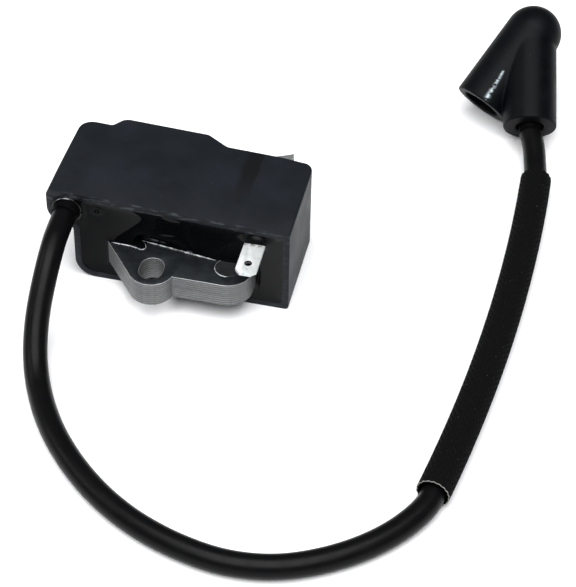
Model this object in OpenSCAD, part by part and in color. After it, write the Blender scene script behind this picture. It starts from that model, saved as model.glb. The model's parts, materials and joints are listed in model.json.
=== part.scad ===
// Flywheel ignition coil for a small engine: a potted module on a laminated core,
// with its high-tension lead, a loose abrasion sleeve and a rubber plug boot.
// Millimetres, +Z up. The module stands on its case at z = 0 and its front faces -Y.

/* [Case] */
// Overall length of the case, lead end to blade end
case_len = 56.4; // [50:0.1:75]
// Depth of the case from its open front to its plain back wall
case_depth = 25.5; // [24:0.1:40]
// Room above the circuit board, under the low end of the roof
roof_room = 3.5; // [3:0.1:8]
// How much higher the roof is at the lead end than at the blade end
case_rise = 2.2; // [1:0.1:5]
// Thickness of the moulded walls
case_wall = 1.5; // [1:0.1:2]
// How far the coil bulge stands out behind the back wall
bulge_out = 3.0; // [1:0.1:6]
// Length of the bulge along its flat back
bulge_len = 20.0; // [16.5:0.1:26]
// Length of the slope from the bulge down to the back wall
bulge_slope = 5.2; // [2:0.1:8]
// Thickness of resin between the roof and the lead's bushing
lead_cover = 0.69; // [0.4:0.01:2]
// Radius of the lower corner at the lead end
foot_r = 4.8; // [1:0.1:6]
// Depth of the resin surface behind the front rim
pot_recess = 0.7; // [0.3:0.1:2]

/* [Core] */
// Thickness of one sheet
lam_thick = 0.6; // [0.35:0.01:0.75]
// Varnish gap between sheets
lam_gap = 0.02; // [0.01:0.01:0.05]
// How far the mounting lobe stands out in front of the case
lobe_reach = 11.4; // [9.5:0.1:16]
// How far the longest pole stands out behind the back wall
pole_reach = 15.0; // [10:0.1:20]
// Width of metal beside the mounting slot
lobe_wall = 2.55; // [2:0.05:3.1]
// Distance from the middle of the case to the slotted lobe
lobe_x = 2.2; // [0:0.1:6]
// Width of the mounting slot
slot_w = 5.5; // [4.3:0.1:6.6]
// How much longer than wide the mounting slot is
slot_travel = 1.6; // [0.5:0.1:2]
// Width of metal around the resin-filled hole
end_lobe_wall = 3.0; // [2.5:0.1:3.6]
// Diameter of the resin-filled hole in the round lobe
end_hole_d = 5.8; // [4.8:0.1:7]
// How far the straight front edge of the yoke stands out in front of the case
yoke_reach = 7.6; // [6:0.1:9.2]
// Depth of the yoke behind the open front of the case
yoke_back = 4.0; // [3.5:0.1:5]
// Width of the middle leg, which carries the coil
mid_leg_w = 7.0; // [5:0.1:8.4]
// Distance from the middle of the case to the middle leg
mid_leg_x = 5.3; // [4:0.1:7]
// Width of the blade-end leg, which carries the charge coil
right_leg_w = 6.0; // [4:0.1:7.2]
// Distance from the middle of the case to the outer side of the blade-end leg
right_leg_x = 20.3; // [18:0.1:21]
// Width of the lead-end leg
left_leg_w = 5.0; // [4:0.1:6]
// Radius of the flywheel that the poles face
flywheel_r = 42; // [35:1:60]
// Diameter of the core rivets
rivet_d = 2.0; // [1.5:0.1:2.4]

/* [Windings] */
// Wall of the bobbins
bobbin_wall = 0.7; // [0.5:0.05:0.9]
// Thickness of the bobbin end flanges
flange_t = 1.0; // [0.6:0.1:1.4]
// Build-up of the primary winding
primary_build = 1.0; // [0.5:0.05:1.3]
// Build-up of the secondary winding
secondary_build = 1.0; // [0.5:0.05:1.3]
// Build-up of the charge winding
charge_build = 2.0; // [1:0.1:2.4]
// Length of the charge coil
charge_len = 11.0; // [8:0.1:12]
// Length of the trigger coil
trigger_len = 6.0; // [4:0.5:7]
// Build-up of the trigger winding
trigger_build = 1.2; // [0.5:0.1:2]
// Running gap between parts that slide over each other inside the case
fit_gap = 0.1; // [0.05:0.01:0.2]

/* [Electronics] */
// Length of the circuit board
board_len = 33.0; // [30:0.5:34]
// Depth of the circuit board
board_depth = 19.0; // [17:0.5:21]
// Thickness of the circuit board
board_t = 1.2; // [0.8:0.1:1.6]
// Width of the blade terminal
blade_w = 4.8; // [4.8:0.1:6.3]
// Thickness of the blade terminal
blade_t = 0.8; // [0.5:0.1:0.8]
// How far the blade stands out in front of the case
blade_reach = 9.6; // [7:0.1:11]
// Diameter of the locking hole in the blade
blade_hole_d = 1.6; // [1:0.1:2]
// Distance from the middle of the case to the middle of the blade
blade_x = 20.2; // [16:0.1:24]

/* [Lead] */
// Diameter of the high-tension lead
lead_d = 5.42; // [4.5:0.01:7]
// Wall of the bushing around the lead
bushing_wall = 0.3; // [0.2:0.01:0.8]
// How far the bushing stands out in front of the case
bushing_reach = 2.2; // [1:0.1:4]
// Slack all round between the lead and the abrasion sleeve
sleeve_gap = 0.61; // [0.4:0.01:1]
// Wall of the abrasion sleeve
sleeve_wall = 0.4; // [0.3:0.05:0.6]
// Arc length of the abrasion sleeve
sleeve_len = 104.4; // [90:0.1:106]

/* [Boot] */
// Diameter of the plug socket
socket_d = 9.7; // [8:0.1:12]
// Thickness of rubber around the plug socket
socket_wall = 2.2; // [1.5:0.1:3]
// Length of the socket's seat, which grips the plug
seat_len = 10.6; // [10:0.1:16]
// Depth of the narrower chamber behind the seat, which holds the spring
chamber_len = 6.0; // [5.7:0.1:8]
// Thickness of rubber around the lead
barrel_wall = 3.84; // [3:0.01:5]
// Length of the barrel from the elbow centre to its mouth
barrel_len = 24.6; // [22:0.1:32]
// Angle between the two tubes
elbow_angle = 37.5; // [33:0.5:70]
// Radial clearance between the lead and the barrel
boot_clear = 0.08; // [0.05:0.01:0.1]
// Wire diameter of the plug spring
spring_wire = 0.8; // [0.6:0.1:1]
// Number of turns in the plug spring
spring_turns = 4; // [3:1:5]

/* [Hidden] */
$fn = 64;

// Places along the depth: the object is centred on its core's ends.
half_len = case_len / 2;
front_y = -(lobe_reach + case_depth + pole_reach) / 2 + lobe_reach;
back_y = front_y + case_depth;
pole_y = back_y + pole_reach;
pot_y = front_y + pot_recess;

// Coil on the middle leg: half widths and half heights, from the leg outwards.
lam_count = 10;
lam_pitch = lam_thick + lam_gap;
stack_h = lam_count * lam_pitch - lam_gap;
coil_x = -mid_leg_x;
yoke_gap = 0.4;
wall_gap = 0.2;
coil_y0 = front_y + yoke_back + yoke_gap;
coil_y1 = back_y + bulge_out - case_wall - wall_gap;
prim_w = mid_leg_w / 2 + fit_gap + bobbin_wall;
prim_h = stack_h / 2 + fit_gap + bobbin_wall;
sec_in_w = prim_w + primary_build + 2 * fit_gap;
sec_in_h = prim_h + primary_build + 2 * fit_gap;
sec_w = sec_in_w + bobbin_wall;
sec_h = sec_in_h + bobbin_wall;
flange_lip = 0.1;
coil_w = sec_w + secondary_build + flange_lip;
coil_h = sec_h + secondary_build + flange_lip;
sec_y0 = coil_y0 + flange_t;
sec_y1 = coil_y1 - flange_t;
rib_t = 0.8;
sec_sections = 4;
sec_pitch = (sec_y1 - sec_y0 - rib_t) / sec_sections;

// Heights: the coil stands just clear of the floor, the board just above the coil.
floor_gap = 0.1;
board_gap = 1.02;
stack_mid = case_wall + floor_gap + coil_h;
lam_z = stack_mid - stack_h / 2;
stack_top = lam_z + stack_h;
coil_top = stack_mid + coil_h;
board_z = coil_top + board_gap;
board_top = board_z + board_t;
case_low = board_top + roof_room + case_wall;
case_high = case_low + case_rise;

// Horn of the case around the lead's bushing. The end wall leans in towards the back, so
// the film of resin round the bushing takes in the lean over the bushing's depth.
bushing_d = lead_d + 2 * bushing_wall;
bushing_in = 2.0;
end_draft = 1.16;
mouth_lip = 2;
horn_gap = 0.07;
horn_film = horn_gap
    + end_draft * (mouth_lip + case_wall + bushing_in) / (mouth_lip + case_wall + case_depth);
horn_r = bushing_d / 2 + horn_film + case_wall;
lead_x = -half_len + horn_r;
lead_z = case_high - case_wall - lead_cover - bushing_d / 2;
horn_z = lead_z - horn_r;
step_fillet = 1.0;
step_flat = 0.2;
foot_x = -half_len + horn_r + step_fillet + step_flat;

// Plan of the case: bulge, draft of the end wall and the roundings of its corners.
bulge_shift = 2.3;
bulge_l = coil_x - bulge_len / 2 - bulge_shift;
bulge_r = bulge_l + bulge_len;
bulge_step = 2.2;
back_taper = 8;
back_drop = 0.6;
rim_r = 0.02;
blade_corner_r = 2.4;
taper_r = 20;
slope_r = 2.0;
bulge_r_slope = 1.8;
bulge_r_step = 2.6;
step_r = 1.4;
lead_corner_r = 3.4;
base_edge_r = 1.0;
roof_edge_r = 0.6;
roof_lead_r = 1.6;
arc_steps = 8;

// Core stack.
slot_len = slot_w + slot_travel;
lobe_r = slot_w / 2 + lobe_wall;
end_lobe_r = end_hole_d / 2 + end_lobe_wall;
lobe_y = front_y - lobe_reach + lobe_r;
end_lobe_x = right_leg_x - end_lobe_r;
end_lobe_y = front_y - yoke_reach + end_lobe_r;
leg_gap = 1.9;
// Straight edges run this far inside the lobes that they meet, so that they cross cleanly.
tuck = 0.03;
left_leg_x = mid_leg_x + coil_w + leg_gap + left_leg_w;
shoulder_in = 6.8;
shoulder_y = front_y + shoulder_in;
flywheel_y = pole_y + sqrt(flywheel_r * flywheel_r - right_leg_x * right_leg_x);
window_gap = 0.15;
rivet_x = [-12.0, 5.0, 17.0];
rivet_y = front_y + yoke_back - 1.7;
rivet_head_d = rivet_d + 1.0;
rivet_head_t = 0.5;

// Coils on the blade-end leg.
side_x = right_leg_x - right_leg_w / 2;
side_w = right_leg_w / 2 + fit_gap + bobbin_wall;
side_h = stack_h / 2 + fit_gap + bobbin_wall;
charge_gap = 1.0;
trigger_gap = 0.6;
charge_y0 = front_y + yoke_back + charge_gap;
trigger_y0 = charge_y0 + charge_len + trigger_gap;

// Electronics.
board_side_gap = 1.7;
board_in = 2.2;
board_x1 = half_len - case_wall - board_side_gap;
board_x0 = board_x1 - board_len;
board_y0 = front_y + board_in;
blade_in = 6.0;
blade_tip = 1.2;
blade_hole_in = 3.4;
blade_hole_y = front_y - blade_reach + blade_hole_in;
strap_x = 9.0;
strap_w = 3.0;
strap_t = 0.5;
strap_foot = 2.6;
cap_size = [13.0, 6.0, 3.6];
cap_pos = [board_x0 + 2.0, board_y0 + 10.5];
scr_d = 4.6;
scr_h = 3.4;
scr_flat = 0.3;
scr_pos = [board_x0 + 20.5, board_y0 + 12.0];
diode_d = 2.6;
diode_len = 5.0;
diode_pos = [board_x0 + 3.0, board_y0 + 3.0];
diode_pitch = 6.5;
resistor_d = 2.2;
resistor_len = 5.5;
resistor_pos = [board_x0 + 26.0, board_y0 + 9.5];
resistor_pitch = 4.0;
ht_wire_d = 1.0;
ht_y = front_y + 13.0;
ht_x = coil_x - 4.5;
tail_end_y = front_y + 9.0;
tail_hole_y = front_y + 5.0;
plug_dip = 0.3;

// Sleeve: a stretch of ring lying flat, turned about an upright axis.
sleeve_axis = [-397.3, 18.75];
sleeve_axis_r = 475;
sleeve_start = -10.08;
sleeve_d = lead_d + 2 * (sleeve_gap + sleeve_wall);
bench_gap = 0.02;
sleeve_z = sleeve_d / 2 + bench_gap;

// Boot: its elbow centre, and the heading, pitch and roll of its barrel.
boot_at = [69.2, 76.7, 17.65];
boot_turn = [23.1, 25.8, -79.5];
socket_floor = 4.2;
dome_back = 1.2;
plug_tube_d = socket_d + 2 * socket_wall;
chamber_end = socket_floor + chamber_len;
plug_tube_len = chamber_end + seat_len;
chamber_step = 0.75;
chamber_d = socket_d - 2 * chamber_step;
barrel_d = lead_d + 2 * barrel_wall;
barrel_bore = lead_d + 2 * boot_clear;
lead_out = 1.0;
mouth_gap = 0.6;
mouth_depth = 2.5;
// The bore stops where a web of rubber is left between it and the socket.
bore_web = 0.43;
bore_end = (socket_d / 2 + bore_web + barrel_bore / 2 * cos(elbow_angle)) / sin(elbow_angle);
lead_in_x = bore_end + mouth_gap;
spike_d = 1.0;
spike_clear = 0.12;
spike_hole = 3.4;
spike_short = 0.4;
passage_d = 2.4;
disc_t = 0.6;
disc_gap = 0.3;
disc_d = chamber_d - 2 * disc_gap;
spring_step_in = 1.2;
spring_d = disc_d - 2 * spring_step_in;
spring_len = 5.0;
spring_t0 = socket_floor + disc_t;
spring_steps = 16;
wire_sides = 8;
tube_sides = 12;

// Route of the lead between the bushing and the boot: down to the bench, round in a
// loose bend, along the sleeve and up to the barrel.
lead_route = [
    [-23.3, -21, 19.6], [-23.2, -25, 19.2], [-23.1, -29.5, 17.6],
    [-23.1, -34.5, 14.4], [-23, -39, 10.9], [-22.4, -43.5, 7.6], [-21.2, -48, 4.9],
    [-19, -53.4, 3.2], [-15.6, -59.8, 2.73], [-11.4, -66.1, 2.73], [-6.4, -72, 2.73],
    [-1, -77.2, 2.73], [4.7, -81.6, 2.73], [10.9, -85.3, 2.73], [17.6, -88.2, 2.73],
    [24.4, -90.2, 2.73], [31.2, -91.3, 2.73], [37.9, -91.1, 2.73], [44.2, -89.7, 2.73],
    [50.2, -87.1, 2.73], [56, -83.5, 2.73], [61.5, -78.9, 2.8], [66.2, -73.4, 2.95],
    [69.7, -67.2, 3.2], [71, -60.6, 3.4], [72.6, -51, 3.45], [74.2, -39, 3.45],
    [75.5, -27, 3.45], [76.5, -15, 3.45], [77.2, -3, 3.45], [77.6, 9, 3.45],
    [77.7, 19, 3.45], [77.5, 29, 3.5], [77.05, 39.5, 3.9], [76.2, 44.8, 4.5],
    [75, 50, 5.6]
];

// ---- Outlines ----

function unit(v) = v / norm(v);

// The points of an arc of radius r that rounds corner p between its neighbours a and b.
function corner_arc(a, p, b, r) =
    let (
        u = unit(a - p),
        w = unit(b - p),
        half = acos(u * w) / 2,
        c = p + unit(u + w) * r / sin(half),
        s = p + u * r / tan(half) - c,
        e = p + w * r / tan(half) - c,
        turn = atan2(s[0] * e[1] - s[1] * e[0], s * e)
    )
    [for (i = [0 : arc_steps])
        let (t = turn * i / arc_steps)
        c + [s[0] * cos(t) - s[1] * sin(t), s[0] * sin(t) + s[1] * cos(t)]];

// A polygon with each corner rounded by its own radius.
function rounded(pts, radii) =
    let (n = len(pts))
    [for (i = [0 : n - 1])
        each corner_arc(pts[(i + n - 1) % n], pts[i], pts[(i + 1) % n], radii[i])];

// A counter-clockwise polygon moved inwards by g.
function inset(pts, g) =
    let (n = len(pts))
    [for (i = [0 : n - 1])
        let (
            u = unit(pts[i] - pts[(i + n - 1) % n]),
            w = unit(pts[(i + 1) % n] - pts[i]),
            m = [-u[1], u[0]],
            k = [-w[1], w[0]]
        )
        pts[i] + g * (m + k) / (1 + m * k)];

// The case seen from the front, x and z, moved inwards by g.
function front_outline(g) =
    rounded(
        inset([
            [foot_x, 0], [half_len, 0], [half_len, case_low], [-half_len, case_high],
            [-half_len, horn_z], [foot_x, horn_z]
        ], g),
        [foot_r - g, base_edge_r, roof_edge_r, roof_lead_r, horn_r - g, step_fillet + g]
    );

// The case seen from above, x and y, moved inwards by g and drawn out past the front by lip.
function plan_outline(g, lip) =
    rounded(
        inset([
            [-half_len, front_y - lip - g], [half_len, front_y - lip - g],
            [half_len, back_y - back_drop], [half_len - back_taper, back_y],
            [bulge_r + bulge_slope, back_y], [bulge_r, back_y + bulge_out],
            [bulge_l, back_y + bulge_out], [bulge_l - bulge_step, back_y],
            [-half_len + end_draft, back_y]
        ], g),
        [
            rim_r, rim_r, blade_corner_r - g, taper_r, slope_r, bulge_r_slope,
            bulge_r_step - g, step_r + g, lead_corner_r - g
        ]
    );

// The block of the case, moved inwards by g.
module case_block(g, lip) {
    intersection() {
        linear_extrude(height = case_high + 1)
            polygon(plan_outline(g, lip));
        translate([0, front_y - lip - 1, 0])
            mirror([0, 1, 0])
                rotate([90, 0, 0])
                    linear_extrude(height = case_depth + bulge_out + lip + 2)
                        polygon(front_outline(g));
    }
}

// ---- Core ----

// The point where a line from e touches a circle of radius r around c, on its outer side.
function tangent_point(e, c, r) =
    let (
        d = e - c,
        a = atan2(d[1], d[0]) + acos(r / norm(d))
    )
    c + r * [cos(a), sin(a)];

module pole_leg_2d(x0, width, y0) {
    translate([x0, y0])
        square([width, pole_y - y0]);
}

// One sheet: yoke with two lobes, three legs, pole faces cut to the flywheel.
module sheet_2d() {
    shoulder = [-left_leg_x, shoulder_y];
    difference() {
        union() {
            translate([-lobe_x, lobe_y])
                circle(r = lobe_r);
            translate([end_lobe_x, end_lobe_y])
                circle(r = end_lobe_r);
            polygon([
                tangent_point(shoulder, [-lobe_x, lobe_y], lobe_r - tuck), [-lobe_x, lobe_y],
                [-lobe_x, front_y - yoke_reach + tuck], [end_lobe_x, front_y - yoke_reach + tuck],
                [end_lobe_x, end_lobe_y], [right_leg_x - tuck, end_lobe_y],
                [right_leg_x - tuck, front_y + yoke_back],
                [left_leg_w - left_leg_x, front_y + yoke_back],
                [left_leg_w - left_leg_x, shoulder_y], shoulder
            ]);
            pole_leg_2d(-left_leg_x, left_leg_w, shoulder_y);
            pole_leg_2d(-mid_leg_x - mid_leg_w / 2, mid_leg_w, front_y);
            pole_leg_2d(right_leg_x - right_leg_w, right_leg_w - tuck, end_lobe_y);
        }
        translate([0, flywheel_y])
            circle(r = flywheel_r, $fn = 180);
        translate([-lobe_x, lobe_y]) {
            square([slot_w, slot_len - slot_w], center = true);
            for (side = [-1, 1])
                translate([0, side * (slot_len - slot_w) / 2])
                    circle(d = slot_w);
        }
        translate([end_lobe_x, end_lobe_y])
            circle(d = end_hole_d);
    }
}

// The whole stack as one block.
module stack_block() {
    translate([0, 0, lam_z])
        linear_extrude(height = stack_h)
            sheet_2d();
}

module lamination(i) {
    color("#6b6e70")
        difference() {
            translate([0, 0, lam_z + (i - 1) * lam_pitch])
                linear_extrude(height = lam_thick)
                    sheet_2d();
            for (x = rivet_x)
                translate([x, rivet_y, lam_z - 1])
                    cylinder(d = rivet_d, h = stack_h + 2);
        }
}

module core_rivets() {
    color("#9a9c9e")
        for (x = rivet_x)
            translate([x, rivet_y, lam_z - rivet_head_t]) {
                cylinder(d = rivet_d, h = stack_h + 2 * rivet_head_t);
                cylinder(d = rivet_head_d, h = rivet_head_t);
                translate([0, 0, stack_h + rivet_head_t])
                    cylinder(d = rivet_head_d, h = rivet_head_t);
            }
}

// ---- Case and resin ----

// A hole in the back wall for one leg of the core.
module leg_window(x0, width) {
    translate([x0 - window_gap, back_y - case_wall - 3, lam_z - window_gap])
        cube([width + 2 * window_gap, case_wall + bulge_out + 4, stack_h + 2 * window_gap]);
}

module case_shell() {
    color("#1d1f21")
        difference() {
            case_block(0, 0);
            case_block(case_wall, mouth_lip);
            leg_window(-left_leg_x, left_leg_w);
            leg_window(-mid_leg_x - mid_leg_w / 2, mid_leg_w);
            leg_window(right_leg_x - right_leg_w, right_leg_w);
        }
}

// Everything that the resin was poured around, with closed outlines for the coils.
module cast_in() {
    stack_block();
    for (x = rivet_x)
        translate([x, rivet_y, lam_z - rivet_head_t])
            cylinder(d = rivet_head_d, h = stack_h + 2 * rivet_head_t);
    box_y(coil_x, prim_w + primary_build, prim_h + primary_build, coil_y0, coil_y1);
    box_y(coil_x, coil_w, coil_h, sec_y0, sec_y1);
    box_y(side_x, side_w + charge_build, side_h + charge_build, charge_y0, charge_y0 + charge_len);
    box_y(side_x, side_w + trigger_build, side_h + trigger_build, trigger_y0,
        trigger_y0 + trigger_len);
    circuit_board();
    storage_capacitor();
    thyristor();
    for (i = [1 : 3])
        diode(i);
    for (i = [1 : 2])
        resistor(i);
    kill_blade();
    earth_strap();
    ht_contact();
    lead_y(bushing_d, front_y - bushing_reach, front_y + bushing_in);
    lead_y(lead_d, front_y, tail_end_y);
}

module potting_compound() {
    color("#0b0c0d")
        difference() {
            union() {
                intersection() {
                    case_block(case_wall, 0);
                    translate([-half_len, pot_y, 0])
                        cube([case_len, case_depth + bulge_out, case_high + 1]);
                }
                translate([end_lobe_x, end_lobe_y, lam_z])
                    cylinder(d = end_hole_d, h = stack_h - plug_dip);
            }
            cast_in();
        }
}

// ---- Windings ----

// A block along Y, centred on the stack's height.
module box_y(x, half_w, half_h, y0, y1) {
    translate([x - half_w, y0, stack_mid - half_h])
        cube([2 * half_w, y1 - y0, 2 * half_h]);
}

// A square tube along Y with the given inside and wall.
module tube_y(x, half_w, half_h, wall, y0, y1) {
    difference() {
        box_y(x, half_w + wall, half_h + wall, y0, y1);
        box_y(x, half_w, half_h, y0 - 1, y1 + 1);
    }
}

// A bobbin: a square tube with an end flange at each end.
module bobbin(x, half_w, half_h, build, y0, y1) {
    tube_y(x, half_w, half_h, bobbin_wall, y0, y1);
    tube_y(x, half_w, half_h, bobbin_wall + build, y0, y0 + flange_t);
    tube_y(x, half_w, half_h, bobbin_wall + build, y1 - flange_t, y1);
}

module primary_bobbin() {
    color("#d8d4c4")
        bobbin(coil_x, prim_w - bobbin_wall, prim_h - bobbin_wall, primary_build, coil_y0, coil_y1);
}

module primary_winding() {
    color("#b5652b")
        tube_y(coil_x, prim_w, prim_h, primary_build, coil_y0 + flange_t, coil_y1 - flange_t);
}

module secondary_bobbin() {
    color("#d8d4c4") {
        tube_y(coil_x, sec_in_w, sec_in_h, bobbin_wall, sec_y0, sec_y1);
        for (i = [0 : sec_sections])
            tube_y(coil_x, sec_in_w, sec_in_h, bobbin_wall + secondary_build + flange_lip,
                sec_y0 + i * sec_pitch, sec_y0 + i * sec_pitch + rib_t);
    }
}

module secondary_winding(i) {
    color("#9c4f20")
        tube_y(coil_x, sec_w, sec_h, secondary_build,
            sec_y0 + (i - 1) * sec_pitch + rib_t, sec_y0 + i * sec_pitch);
}

module charge_bobbin() {
    color("#d8d4c4")
        bobbin(side_x, side_w - bobbin_wall, side_h - bobbin_wall, charge_build,
            charge_y0, charge_y0 + charge_len);
}

module charge_winding() {
    color("#b5652b")
        tube_y(side_x, side_w, side_h, charge_build,
            charge_y0 + flange_t, charge_y0 + charge_len - flange_t);
}

module trigger_bobbin() {
    color("#d8d4c4")
        bobbin(side_x, side_w - bobbin_wall, side_h - bobbin_wall, trigger_build,
            trigger_y0, trigger_y0 + trigger_len);
}

module trigger_winding() {
    color("#b5652b")
        tube_y(side_x, side_w, side_h, trigger_build,
            trigger_y0 + flange_t, trigger_y0 + trigger_len - flange_t);
}

// ---- Electronics and terminals ----

module circuit_board() {
    color("#2f6b3a")
        translate([board_x0, board_y0, board_z])
            cube([board_len, board_depth, board_t]);
}

module storage_capacitor() {
    color("#8c3b2a")
        translate([cap_pos[0], cap_pos[1], board_top])
            cube(cap_size);
}

// A round-backed transistor body standing on the board.
module thyristor() {
    color("#151515")
        translate([scr_pos[0], scr_pos[1], board_top])
            difference() {
                cylinder(d = scr_d, h = scr_h);
                translate([-scr_d, scr_d * scr_flat, -1])
                    cube([2 * scr_d, scr_d, scr_h + 2]);
            }
}

// A round part of diameter d lying along Y on the board.
module lying(x, y, d, length) {
    translate([x, y, board_top + d / 2])
        rotate([-90, 0, 0])
            cylinder(d = d, h = length);
}

module diode(i) {
    color("#202020")
        lying(diode_pos[0] + (i - 1) * diode_pitch, diode_pos[1], diode_d, diode_len);
}

module resistor(i) {
    color("#c9b48a")
        lying(resistor_pos[0] + (i - 1) * resistor_pitch, resistor_pos[1], resistor_d,
            resistor_len);
}

module kill_blade() {
    tip = front_y - blade_reach;
    root = front_y + blade_in;
    color("#d9dadb")
        difference() {
            translate([blade_x, 0, board_top])
                linear_extrude(height = blade_t)
                    polygon([
                        [-blade_w / 2 + blade_tip, tip], [blade_w / 2 - blade_tip, tip],
                        [blade_w / 2, tip + blade_tip], [blade_w / 2, root],
                        [-blade_w / 2, root], [-blade_w / 2, tip + blade_tip]
                    ]);
            translate([blade_x, blade_hole_y, board_top - 1])
                cylinder(d = blade_hole_d, h = blade_t + 2);
        }
}

// An angle strip from the top sheet to the underside of the board.
module earth_strap() {
    y1 = front_y + yoke_back;
    color("#c08a4a") {
        translate([strap_x, y1 - strap_foot, stack_top])
            cube([strap_w, strap_foot, strap_t]);
        translate([strap_x, y1 - strap_t, stack_top])
            cube([strap_w, strap_t, board_z - stack_top]);
    }
}

// A round bar along Y at the height of the lead.
module lead_y(d, y0, y1) {
    translate([lead_x, y0, lead_z])
        rotate([-90, 0, 0])
            cylinder(d = d, h = y1 - y0);
}

// The wire from the secondary winding to a spike in the end of the lead.
module ht_contact() {
    color("#c9a24a") {
        lead_y(ht_wire_d, tail_hole_y, ht_y);
        translate([lead_x, ht_y, lead_z])
            sphere(d = ht_wire_d);
        translate([lead_x, ht_y, lead_z])
            rotate([0, 90, 0])
                cylinder(d = ht_wire_d, h = ht_x - lead_x);
        translate([ht_x, ht_y, lead_z])
            sphere(d = ht_wire_d);
        translate([ht_x, ht_y, coil_top - flange_lip])
            cylinder(d = ht_wire_d, h = lead_z - coil_top + flange_lip);
    }
}

module lead_bushing() {
    color("#111213")
        difference() {
            lead_y(bushing_d, front_y - bushing_reach, front_y + bushing_in);
            lead_y(lead_d, front_y - bushing_reach - 1, front_y + bushing_in + 1);
        }
}

module lead_tail() {
    color("#17191b")
        difference() {
            lead_y(lead_d, front_y - bushing_reach, tail_end_y);
            lead_y(ht_wire_d, tail_hole_y, tail_end_y + 1);
        }
}

// ---- Lead ----

// The direction of the boot's barrel, from the elbow to its mouth.
barrel_dir = [
    cos(boot_turn[1]) * cos(boot_turn[2]), cos(boot_turn[1]) * sin(boot_turn[2]),
    -sin(boot_turn[1])
];
lead_path = concat(
    [[lead_x, front_y - bushing_reach, lead_z]], lead_route,
    [boot_at + (barrel_len + lead_out) * barrel_dir]
);
path_last = len(lead_path) - 1;

// The direction of the lead at point i of its path.
function lead_dir(i) =
    i == 0 ? [0, -1, 0] : i == path_last ? -barrel_dir : unit(lead_path[i + 1] - lead_path[i - 1]);

// The ring of points around point i of the path.
function lead_ring(i) =
    let (
        t = lead_dir(i),
        side = unit(cross(t, [0, 0, 1])),
        up = cross(side, t)
    )
    [for (k = [0 : tube_sides - 1])
        lead_path[i] + lead_d / 2 * (cos(360 * k / tube_sides) * side
            + sin(360 * k / tube_sides) * up)];

module lead_tube() {
    rings = path_last + 1;
    color("#17191b")
        polyhedron(
            points = [for (i = [0 : path_last]) each lead_ring(i)],
            faces = concat(
                [[for (k = [0 : tube_sides - 1]) tube_sides - 1 - k]],
                [[for (k = [0 : tube_sides - 1]) path_last * tube_sides + k]],
                [for (i = [0 : rings - 2], k = [0 : tube_sides - 1])
                    let (n = (k + 1) % tube_sides)
                    [i * tube_sides + k, i * tube_sides + n,
                        (i + 1) * tube_sides + n, (i + 1) * tube_sides + k]]
            )
        );
}

module lead_end() {
    color("#17191b")
        boot_frame()
            difference() {
                bar_x(lead_d, lead_in_x, barrel_len + lead_out);
                bar_x(spike_d + 2 * spike_clear, lead_in_x - 1, lead_in_x + spike_hole);
            }
}

module abrasion_sleeve() {
    color("#141516")
        translate([sleeve_axis[0], sleeve_axis[1], sleeve_z])
            rotate([0, 0, sleeve_start])
                rotate_extrude(angle = sleeve_len / sleeve_axis_r * 180 / PI, $fn = 360)
                    translate([sleeve_axis_r, 0])
                        difference() {
                            circle(d = sleeve_d, $fn = 48);
                            circle(d = sleeve_d - 2 * sleeve_wall, $fn = 48);
                        }
}

// ---- Boot ----

module boot_frame() {
    translate(boot_at)
        rotate(boot_turn)
            children();
}

// A round bar along X, the barrel's own axis.
module bar_x(d, x0, x1) {
    translate([x0, 0, 0])
        rotate([0, 90, 0])
            cylinder(d = d, h = x1 - x0);
}

// The same along the plug tube.
module bar_plug(d, t0, t1) {
    rotate([0, 0, -elbow_angle])
        bar_x(d, t0, t1);
}

// The plug tube without its bore, closed by a round dome at the elbow.
module domed_plug_tube() {
    r = plug_tube_d / 2;
    rotate([0, 90, -elbow_angle])
        rotate_extrude($fn = 96)
            intersection() {
                union() {
                    translate([0, -dome_back])
                        circle(r = r, $fn = 96);
                    translate([-r, -dome_back])
                        square([2 * r, dome_back + plug_tube_len]);
                }
                translate([0, -dome_back - r])
                    square([r, r + dome_back + plug_tube_len]);
            }
}

module boot() {
    color("#16181a")
        boot_frame()
            difference() {
                union() {
                    domed_plug_tube();
                    bar_x(barrel_d, 0, barrel_len);
                }
                bar_plug(socket_d, chamber_end, plug_tube_len + 1);
                bar_plug(chamber_d, socket_floor, chamber_end + 1);
                bar_x(barrel_bore, bore_end, barrel_len + 1);
                bar_x(lead_d + 2 * mouth_gap, barrel_len - mouth_depth, barrel_len + 1);
                bar_x(passage_d, socket_floor, lead_in_x);
            }
}

// Points of one turn-by-turn ring of spring wire, in the plug tube's own frame.
function spring_ring(i) =
    let (
        a = 360 * i / spring_steps,
        r = (spring_d - spring_wire) / 2,
        t = spring_t0 + spring_wire / 2 + (spring_len - spring_wire) * i / (spring_steps * spring_turns)
    )
    [for (k = [0 : wire_sides - 1])
        let (
            b = 360 * k / wire_sides,
            q = r + spring_wire / 2 * cos(b)
        )
        [t + spring_wire / 2 * sin(b), q * cos(a), q * sin(a)]];

module plug_spring() {
    last = spring_steps * spring_turns;
    color("#b8babc")
        boot_frame()
            rotate([0, 0, -elbow_angle])
                polyhedron(
                    points = [for (i = [0 : last]) each spring_ring(i)],
                    faces = concat(
                        [[for (k = [0 : wire_sides - 1]) k]],
                        [[for (k = [0 : wire_sides - 1]) last * wire_sides + wire_sides - 1 - k]],
                        [for (i = [0 : last - 1], k = [0 : wire_sides - 1])
                            let (n = (k + 1) % wire_sides)
                            [i * wire_sides + k, (i + 1) * wire_sides + k,
                                (i + 1) * wire_sides + n, i * wire_sides + n]]
                    )
                );
}

// The contact disc under the spring, with the spike that enters the lead.
module contact_spike() {
    color("#b8babc")
        boot_frame() {
            bar_plug(disc_d, socket_floor, socket_floor + disc_t);
            bar_x(spike_d, (socket_floor + disc_t / 2) / cos(elbow_angle),
                lead_in_x + spike_hole - spike_short);
        }
}

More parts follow.
